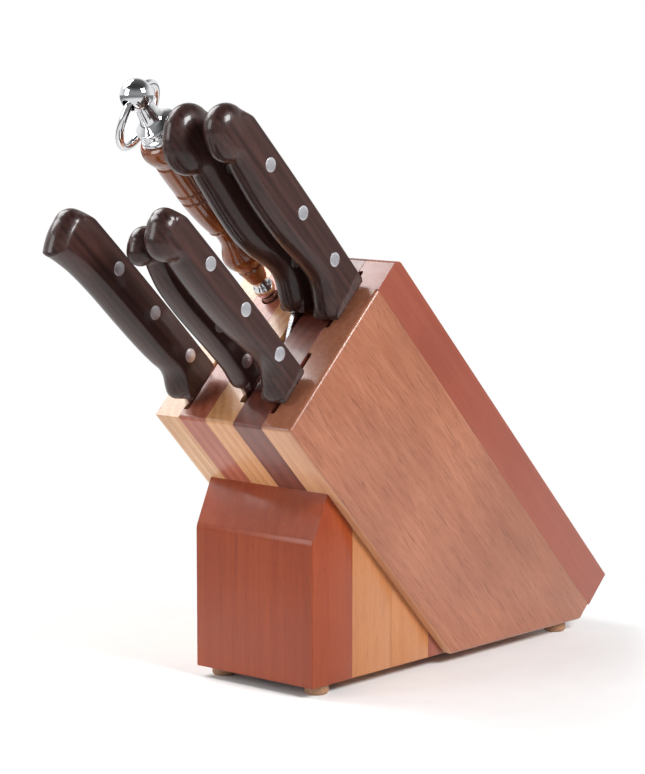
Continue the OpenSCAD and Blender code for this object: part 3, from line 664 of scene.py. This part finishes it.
def handle_outline(k):
    """The handle's closed side outline as [y, z] points: belly, lobe, butt, shoulder, spine."""
    length, r, rs, belly = k["length"], k["lobe"], k["shoulder"], k["belly"]
    lobe = (r - k["pommel"], length - k["drop"] - r)
    shoulder = (-rs, length - rs)
    dy, dz = shoulder[0] - lobe[0], shoulder[1] - lobe[1]
    butt = math.degrees(math.atan2(dy, dz) - math.acos((r - rs) / math.hypot(dy, dz)))
    circle = arc_points(lobe, r, LOBE_START, butt)
    # the lobe leaves the belly where its circle comes out of the belly line
    first = next(i for i, p in enumerate(circle)
                 if p[1] > lobe[1] - LOBE_REACH * r and p[0] < -hermite(belly, p[1]))
    circle = circle[first:]
    points = [(-hermite(belly, i * OUTLINE_STEP), i * OUTLINE_STEP)
              for i in range(int(circle[0][1] / OUTLINE_STEP))]
    points += circle
    turn = arc_points(shoulder, rs, butt, 90)
    if k["crown"]:
        for i in range(1, 20):
            u = i / 20
            points.append((circle[-1][0] * (1 - u) + turn[0][0] * u,
                           circle[-1][1] * (1 - u) + turn[0][1] * u
                           + k["crown"] * 4 * u * (1 - u)))
    points += turn
    n = int(shoulder[1] / OUTLINE_STEP)
    for i in range(1, n + 1):
        z = shoulder[1] * (1 - i / n)
        points.append((SPINE_CROWN * math.sin(math.pi * z / shoulder[1]), z))
    depth = belly[0][1]
    return points + [(-depth * i / 20, 0) for i in range(1, 20)]


def evenly(points, count):
    """The closed outline resampled at equal steps."""
    loop = points + [points[0]]
    marks = [0.0]
    for a, b in zip(loop, loop[1:]):
        marks.append(marks[-1] + math.hypot(b[0] - a[0], b[1] - a[1]))
    total, result, i = marks[-1], [], 0
    for j in range(count):
        d = total * j / count
        while marks[i + 1] < d:
            i += 1
        u = (d - marks[i]) / max(marks[i + 1] - marks[i], 1e-9)
        result.append((loop[i][0] * (1 - u) + loop[i + 1][0] * u,
                       loop[i][1] * (1 - u) + loop[i + 1][1] * u))
    return result, total / count


def smoothed(points, reaches):
    """Each point averaged with its neighbours on the closed outline, with a bell-shaped weight."""
    n, result = len(points), []
    for i, reach in enumerate(reaches):
        span = range(-2 * reach, 2 * reach + 1)
        weights = [math.exp(-2 * (j / reach) ** 2) for j in span]
        result.append(tuple(sum(w * points[(i + j) % n][c] for w, j in zip(weights, span))
                            / sum(weights) for c in (0, 1)))
    return result


def step_up(value, low, high):
    u = min(1.0, max(0.0, (value - low) / (high - low)))
    return u * u * (3 - 2 * u)


def section_profile(half, width, crease, wide):
    """Points from the outline's middle to the flat side, as (half thickness, inward distance).

    The belly's section is a shallow arc that meets the side at a softened crease, and the
    spine's is a flat with a small rounded edge; wide blends between them.
    """
    points = []
    for j in range(PROFILE_STEPS + 1):
        u = j / PROFILE_STEPS
        a = crease * u
        x1 = half * math.sin(a) / math.sin(crease)
        d1 = width * (1 - math.cos(a)) / (1 - math.cos(crease))
        b = math.pi / 2 * max(0.0, (u - FLAT_SHARE) / ROUND_SHARE)
        x2 = (half - width) * min(1.0, u / FLAT_SHARE) + width * math.sin(b)
        d2 = width * (1 - math.cos(b))
        points.append((min(half, x1 * wide + x2 * (1 - wide)), d1 * wide + d2 * (1 - wide)))
    start, corner, end = points[-2], points[-1], (half, points[-1][1] + FLAT_RUN)
    points = points[:-1]
    for j in range(1, FILLET_STEPS + 1):
        u = j / FILLET_STEPS
        points.append(tuple(start[c] * (1 - u) ** 2 + 2 * corner[c] * u * (1 - u)
                            + end[c] * u * u for c in (0, 1)))
    return points


def mitred(outline, normals, depths):
    """The outline moved inwards; stretches that would cross another edge close to a mitre."""
    tree = kdtree.KDTree(len(outline))
    for i, (y, z) in enumerate(outline):
        tree.insert((y, z, 0), i)
    tree.balance()
    n = len(outline)
    moved_in = [(y + ny * d, z + nz * d)
                for (y, z), (ny, nz), d in zip(outline, normals, depths)]
    valid = [tree.find((y, z, 0))[2] > d * MITRE_SHARE - MITRE_SLACK
             for (y, z), d in zip(moved_in, depths)]
    if all(valid) or not any(valid):
        return moved_in
    start = next(i for i in range(n) if valid[i])
    result = list(moved_in)
    i = start
    while i < start + n:
        if valid[i % n]:
            i += 1
            continue
        end = i
        while not valid[end % n]:
            end += 1
        a, b = moved_in[(i - 1) % n], moved_in[end % n]
        for j in range(i, end):
            u = (j - i + 1) / (end - i + 1)
            result[j % n] = (a[0] * (1 - u) + b[0] * u, a[1] * (1 - u) + b[1] * u)
        i = end
    return result


def handle_mesh(name, k):
    """One knife's handle: its outline, softened at the hook, with a section at every point."""
    points, gap = evenly(handle_outline(k), DENSE_COUNT)
    reaches = []
    for y, z in points:
        at_hook = 0.0
        if k["hook"] and y < -k["waist"] / 2:
            at_hook = math.exp(-((z - k["hook"]) / HOOK_SPREAD) ** 2)
        reaches.append(max(1, round((EASE + HOOK_EASE * at_hook) / gap)))
    points, gap = evenly(smoothed(points, reaches), OUTLINE_COUNT)
    n, half = len(points), k["thick"] / 2
    normals, profiles = [], []
    for i, (y, z) in enumerate(points):
        before, after = points[i - 2], points[(i + 2) % n]
        ty, tz = after[0] - before[0], after[1] - before[1]
        size = math.hypot(ty, tz)
        ny, nz = tz / size, -ty / size
        normals.append((ny, nz))
        below = k["length"] - k["shoulder"] - z
        on_spine = step_up(-ny, *SPINE_FACING) * step_up(below, -SHOULDER_FADE, SHOULDER_FADE)
        at_guard = step_up(nz, *GUARD_FACING) * step_up(GUARD_END - z, 0, GUARD_FADE)
        wide = (1 - on_spine) * (1 - at_guard)
        round_butt = 0.0
        if k["hook"]:
            round_butt = step_up(z, k["hook"] + DOME_FROM, k["hook"] + DOME_TO)
        crease = math.radians(BELLY_CREASE + (LOBE_CREASE - BELLY_CREASE) * round_butt)
        width = k["bevel"] * (1 + DOME_WIDEN * round_butt) * wide + EDGE_R * (1 - wide)
        profiles.append(section_profile(half, width, crease, wide))
    bm = bmesh.new()
    rings = []
    for j in range(len(profiles[0])):
        depths = [p[j][1] for p in profiles]
        rings.append([(profiles[i][j][0], y, z)
                      for i, (y, z) in enumerate(mitred(points, normals, depths))])
    middle = [bm.verts.new((0, y, z)) for _, y, z in rings[0]]
    for sign in (1, -1):
        rows = [middle] + [[bm.verts.new((sign * x, y, z)) for x, y, z in ring]
                           for ring in rings[1:]]
        skin(bm, rows)
        bm.faces.new(rows[-1])
    bmesh.ops.remove_doubles(bm, verts=bm.verts, dist=0.004)
    return mesh_object(name, bm, knife_matrix(k), 34)


# mm: tang past the last rivet, tang into the blade, blade below the spine, cuts past the skin
TANG_PAST_RIVET, TANG_ROOT, BLADE_DROP, CUT_GUARD, CUT_SPINE = 9, 2, 0.8, 1, 5
TANG_SHARE = 0.68  # of the handle's depth
SHORT_HANDLE, SHORT_PITCH = 120, 0.8
# (radius, height above the handle's side)
RIVET_DOME = [(0, 0.22), (1.6, 0.19), (2.8, 0.12), (RIVET_R - 0.3, 0.05), (RIVET_R, -0.1)]


def rivet_rows(k):
    pitch = RIVET_PITCH * (SHORT_PITCH if k["length"] < SHORT_HANDLE else 1)
    return [k["rivet"][0] + i * pitch for i in range(3)]


def knife(n):
    """Handle, rivets and blade of knife n."""
    k, b = KNIVES[n], BLADES[n]
    body = f"knife_{n + 1}"
    place = knife_matrix(k)
    rows = rivet_rows(k)
    rivet_y = -k["rivet"][1]
    tang_depth, tang_len, t = TANG_SHARE * k["waist"], rows[2] + TANG_PAST_RIVET, b["t"]

    handle = handle_mesh(f"{body}_grip", k)
    combine(handle, box_bm((-t / 2, -tang_depth, -CUT_GUARD), (t / 2, CUT_SPINE, tang_len)),
            "DIFFERENCE")
    finish_piece(handle, body, "handle_rosewood", f"{body}_handle")

    half = k["thick"] / 2
    profile = [(r, half + rise) for r, rise in RIVET_DOME]
    profile = [(r, -z) for r, z in profile] + [(r, z) for r, z in reversed(profile)]
    bm = bmesh.new()
    for z in rows:
        one = lathe(profile, 48)
        bmesh.ops.rotate(one, cent=(0, 0, 0), matrix=Matrix.Rotation(math.pi / 2, 3, "Y"),
                         verts=one.verts)
        bmesh.ops.translate(one, vec=(0, rivet_y, z), verts=one.verts)
        mesh = bpy.data.meshes.new("rivet")
        one.to_mesh(mesh)
        one.free()
        bm.from_mesh(mesh)
        bpy.data.meshes.remove(mesh)
    finish_piece(mesh_object(f"{body}_pins", bm, place), body, "rivet_metal",
                 f"{body}_rivets")

    blade = blade_mesh(f"{body}_steel", b, place)
    combine(blade, box_bm((-t / 2, -tang_depth, -TANG_ROOT),
                          (t / 2, -BLADE_DROP, tang_len)), "UNION")
    finish_piece(blade, body, "blade_steel", f"{body}_blade")


BLADE_STEPS = 60
DROP_FROM, DROP_RUN = 0.62, 0.38  # of the length, where the spine falls to the point
POINT_GAP, RISE_POWER = 0.4, 2.4
HEEL_LEN = 8
TAPER, TAPER_POWER = 0.45, 1.5
GRIND_FROM, GRIND_TO = 2, 12
BEVEL_H, CREST_H = 1.2, 0.3
EDGE_HALF, TIP_HALF = 0.22, 0.05


def blade_mesh(name, b, place):
    """A flat-ground blade: full at the spine, thinning to a fine edge and to the point."""
    length = b["length"]
    rise = length * (1 - b["curve"])
    bm = bmesh.new()
    rows = []
    for i in range(BLADE_STEPS + 1):
        z = length * (i / BLADE_STEPS)
        u = max(0.0, (z / length - DROP_FROM) / DROP_RUN)
        top = -BLADE_DROP - (b["point"] - BLADE_DROP) * u ** 2
        e = max(0.0, (z - rise) / (length - rise))
        low = -b["heel"] + (b["heel"] - b["point"] - POINT_GAP) * e ** RISE_POWER
        if z < HEEL_LEN:
            low = -b["neck"] - (b["heel"] - b["neck"]) * z / HEEL_LEN
        t = b["t"] / 2 * (1 - TAPER * (z / length) ** TAPER_POWER)
        depth = top - low
        fine = min(BEVEL_H, 0.3 * depth)
        ground = step_up(z, GRIND_FROM, GRIND_TO)
        edge = t * (1 - ground) + EDGE_HALF * ground
        tip = t * (1 - ground) + TIP_HALF * ground
        crest = min(CREST_H, 0.2 * depth)
        flank = t * 0.96 * ground + t * (1 - ground)
        half = [(t * 0.72, top), (t, top - crest), (flank, top - 0.45 * depth),
                (edge, low + fine), (tip, low)]
        rows.append([bm.verts.new((x, y, -z)) for x, y in half]
                    + [bm.verts.new((-x, y, -z)) for x, y in reversed(half)])
    skin(bm, rows)
    bm.faces.new(rows[0])
    bm.faces.new(rows[-1])
    return mesh_object(name, bm, place, 25)


for n in range(5):
    knife(n)

# ---------------------------------------------------------------- sharpening steel
# (radius, distance below the finial), in runs that are each one smooth curve
HANDLE_PROFILE = [
    [(11.6, 26.5), (13.2, 28), (14.3, 31), (14.1, 34), (12.9, 37), (12.1, 39.4)],
    [(11.2, 40.4)],
    [(12, 41.4), (11.9, 47), (11.7, 53), (11.4, 58.6)],
    [(10.6, 59.6)],
    [(11.5, 60.6), (11.4, 64)],
    [(10.4, 65)],
    [(11.3, 66), (10.9, 71), (10.2, 77), (9.2, 83), (8.2, 87.5)],
    [(7.5, 88.6)],
    [(7.9, 89.8), (6.5, 91.2), (6, 95), (6.1, 99), (7, 102), (8.8, 105.5), (10, 109),
     (9.7, 112.5), (8.4, 115.5), (7.4, 117.5)],
    [(6.6, 118.5)],
    [(7, 119.8), (6.2, 123), (5, 128.5)],
]
CAP_PROFILE = [(5.2, 11), (5.6, 13), (6.6, 15.5), (8.8, 17.5), (10.6, 18.8), (10.9, 19.6),
               (10.5, 20.4), (9.4, 21.2), (9.1, 22.2), (9.4, 23.2), (10.5, 24), (11.2, 25),
               (11, 26), (10.5, 26.5)]
CAP_TOP = 11.0
NECK_TOP = 6.6
NECK_PROFILE = [(4.45, 7.1), (4.7, 8.6), (5.15, 10.4), (5.2, CAP_TOP), (0.0, CAP_TOP)]
FINIAL_HOLE_R, HOLE_REACH = 3.5, 15
BALL_NECK_R = 4.2
GUARD_Z = FINIAL_T - GUARD_BALL_T
FLUTES, FLUTE_DEPTH = 40, 0.2
RING_STEPS, WIRE_STEPS = 128, 24


def turned_piece(name, profile, segments=128, sharp=40):
    """A lathed piece of the steel, from (radius, distance below the finial) points."""
    return mesh_object(name, lathe([(r, -z) for r, z in profile], segments), STEEL, sharp)


def steel_handle():
    profile = [(0.0, HANDLE_TOP)]
    for run in HANDLE_PROFILE:
        profile += curve_through(run, 5) if len(run) > 2 else run
    profile += [(0.0, HANDLE_BOTTOM)]
    finish_piece(turned_piece("steel_grip", profile, sharp=30), "steel", "turned_wood",
                 "steel_handle")


def steel_cap():
    profile = [(0.0, CAP_TOP)] + curve_through(CAP_PROFILE, 6) + [(0.0, HANDLE_TOP)]
    finish_piece(turned_piece("steel_collar", profile), "steel", "chrome", "steel_cap")


def steel_finial():
    """The ball with its cross hole, and the neck under it."""
    neck = [(FINIAL_R * math.sin(a), -FINIAL_R * math.cos(a)) for a in
            (math.pi * i / 48 for i in range(38)) if FINIAL_R * math.cos(a) > -NECK_TOP]
    finial = turned_piece("steel_ball", neck + NECK_PROFILE)
    hole = cylinder_bm(FINIAL_HOLE_R, -HOLE_REACH, HOLE_REACH)
    bmesh.ops.rotate(hole, cent=(0, 0, 0), matrix=Matrix.Rotation(math.pi / 2, 3, "X"),
                     verts=hole.verts)
    combine(finial, hole, "DIFFERENCE")
    finish_piece(finial, "steel", "chrome", "steel_finial")


def steel_guard_ball():
    """The ball below the handle, open at the top for the neck and at the bottom for the rod."""
    top = math.asin(BALL_NECK_R / GUARD_BALL_R)
    bottom = math.pi - math.asin(ROD_R / GUARD_BALL_R) - 0.01
    ball = [(0.0, HANDLE_BOTTOM), (BALL_NECK_R, HANDLE_BOTTOM)]
    ball += [(GUARD_BALL_R * math.sin(a), GUARD_Z - GUARD_BALL_R * math.cos(a))
             for a in (top + (bottom - top) * i / 28 for i in range(29))]
    ball.append((0.0, ball[-1][1]))
    finish_piece(turned_piece("steel_guard", ball, 96), "steel", "chrome", "steel_guard_ball")


def steel_rod():
    """A rod with fine grooves along it, plain at its root and at its tapered end."""
    low = -(FINIAL_T + ROD_LEN)
    high = -GUARD_Z - ROD_SOCKET
    bm = bmesh.new()
    rows = []
    for z, r, groove in ((low, 2.0, 0), (low + 3.2, 3.95, 0), (low + 4, ROD_R, 0),
                         (low + 6, ROD_R, FLUTE_DEPTH), (high - 5, ROD_R, FLUTE_DEPTH),
                         (high - 3, ROD_R, 0), (high, ROD_R, 0)):
        rows.append([bm.verts.new((
            (r - groove * (i % 2)) * math.cos(math.pi * i / FLUTES),
            (r - groove * (i % 2)) * math.sin(math.pi * i / FLUTES), z))
            for i in range(2 * FLUTES)])
    skin(bm, rows)
    bm.faces.new(rows[0])
    bm.faces.new(rows[-1])
    finish_piece(mesh_object("steel_fluted_rod", bm, STEEL, 20), "steel", "rod_steel",
                 "steel_rod")


def steel_ring():
    """The ring, hanging through the finial's hole and leaning on the wooden handle."""
    sag = RING_R - math.sqrt(RING_R ** 2 - FINIAL_R ** 2)
    place = (STEEL @ Matrix.Rotation(math.radians(RING_REST), 4, "Y")
             @ moved(0, 0, sag / 2 - RING_R) @ Matrix.Rotation(math.pi / 2, 4, "Y"))
    bm = bmesh.new()
    grid = [[bm.verts.new(((RING_R + WIRE_R * math.cos(v)) * math.cos(u),
                           (RING_R + WIRE_R * math.cos(v)) * math.sin(u), WIRE_R * math.sin(v)))
             for v in (2 * math.pi * j / WIRE_STEPS for j in range(WIRE_STEPS))]
            for u in (2 * math.pi * i / RING_STEPS for i in range(RING_STEPS))]
    skin(bm, grid + [grid[0]])
    finish_piece(mesh_object("hanging_ring", bm, place, 60), "ring", "chrome", "steel_ring")


steel_handle()
steel_cap()
steel_finial()
steel_guard_ball()
steel_rod()
steel_ring()

# ---------------------------------------------------------------- parts that keep their CAD mesh
for node, slot in (("wedge_dowels", "dowel_wood"), ("foot_screws", "screw_steel")):
    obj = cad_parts[node]
    obj.data.materials.clear()
    obj.data.materials.append(LOOKS[slot])

# ---------------------------------------------------------------- floor, light and camera
FLOOR_R = 9.0  # metres
IMAGE_H, FOCAL_PIXELS, SENSOR = 774, 2754, 36
AZIMUTH, ELEVATION, DISTANCE = math.radians(41.18), math.radians(7.6), 1.4258
TARGET = Vector((0.0, (FRONT_EDGE_Y + 76.7) * MM, 0.1494))
toward = Vector((math.sin(AZIMUTH) * math.cos(ELEVATION),
                 -math.cos(AZIMUTH) * math.cos(ELEVATION), math.sin(ELEVATION)))
toward.normalize()
right = Vector((0, 0, 1)).cross(toward).normalized()
upward = toward.cross(right).normalized()

bm = bmesh.new()
bmesh.ops.create_circle(bm, cap_ends=True, radius=FLOOR_R, segments=96)
mesh = bpy.data.meshes.new("floor")
bm.to_mesh(mesh)
bm.free()
floor = bpy.data.objects.new("floor", mesh)
bpy.context.scene.collection.objects.link(floor)
t = Tree(bpy.data.materials.new("floor_paper"))
paper = t.noise(t.mapped((60, 60, 60)), 1.0, 2.0, 0.5).outputs[0]
near = t.add("BsdfDiffuse", {0: t.mix(t.between(paper, 0.3, 0.7), (0.93,) * 3, (0.95,) * 3)})
spread = t.add("VectorMath", {0: t.add("TexCoord").outputs["Object"]}, operation="LENGTH")
# the sheet ends in a darker room, which only reflections show
room = t.add("MapRange", {"Value": spread.outputs["Value"], "From Min": 0.6, "From Max": 1.4,
                          "To Min": 0.85, "To Max": 0.22},
             interpolation_type="SMOOTHSTEP").outputs[0]
seen = t.add("LightPath").outputs["Is Camera Ray"]
far = t.add("Emission", {"Strength": t.math("MAXIMUM", seen, room)})
fade = t.add("MapRange", {"Value": spread.outputs["Value"], "From Min": 0.11, "From Max": 0.28},
             interpolation_type="SMOOTHSTEP").outputs[0]
sheet = t.add("MixShader", {0: fade, 1: near.outputs[0], 2: far.outputs[0]})
t.add("OutputMaterial", {"Surface": sheet.outputs[0]})
floor.data.materials.append(t.owner)


def softbox(name, direction, distance, size, power):
    """A white rectangular area light that faces the object."""
    light = bpy.data.lights.new(name, "AREA")
    light.shape = "RECTANGLE"
    light.size, light.size_y = size
    light.energy = power
    obj = bpy.data.objects.new(name, light)
    bpy.context.scene.collection.objects.link(obj)
    direction = direction.normalized()
    obj.location = TARGET + direction * distance
    obj.rotation_euler = direction.to_track_quat("Z", "Y").to_euler()


softbox("key", toward * 0.55 + upward * 0.5 + right * 0.62, 1.5, (0.6, 0.55), 22.5)
softbox("left", right * -0.554 + upward * 0.72 - toward * 0.25, 1.4, (1.0, 0.8), 18)
softbox("front_left", right * -0.9 + toward * 0.42 + upward * 0.3, 1.8, (0.8, 1.0), 12)

world = bpy.data.worlds.new("studio")
bpy.context.scene.world = world
w = Tree(world)
view = w.add("TexCoord").outputs["Generated"]
behind = w.add("VectorMath", {0: view, 1: tuple(-toward)},
               operation="DOT_PRODUCT").outputs["Value"]
height = w.add("SeparateXYZ", {0: view}).outputs[2]
back_wall = w.between(behind, -0.35, 0.5, 0.3, 0.9)
ceiling = w.between(height, 0.35, 0.75, 1.0, 0.16)
glow = w.math("MULTIPLY", back_wall, ceiling)
lit = w.add("Background", {"Color": (1, 1, 1, 1), "Strength": glow}).outputs[0]
white = w.add("Background", {"Color": (1, 1, 1, 1), "Strength": 1.0}).outputs[0]
camera_ray = w.add("LightPath").outputs["Is Camera Ray"]
mixed = w.add("MixShader", {0: camera_ray, 1: lit, 2: white}).outputs[0]
w.add("OutputWorld", {"Surface": mixed})

camera_data = bpy.data.cameras.new("camera")
camera_data.sensor_width = SENSOR
camera_data.lens = FOCAL_PIXELS / IMAGE_H * SENSOR
camera_data.clip_end = 50
camera = bpy.data.objects.new("camera", camera_data)
bpy.context.scene.collection.objects.link(camera)
camera.location = TARGET + toward * DISTANCE
camera.rotation_euler = toward.to_track_quat("Z", "Y").to_euler()
bpy.context.scene.camera = camera
bpy.context.scene.view_settings.view_transform = "Standard"
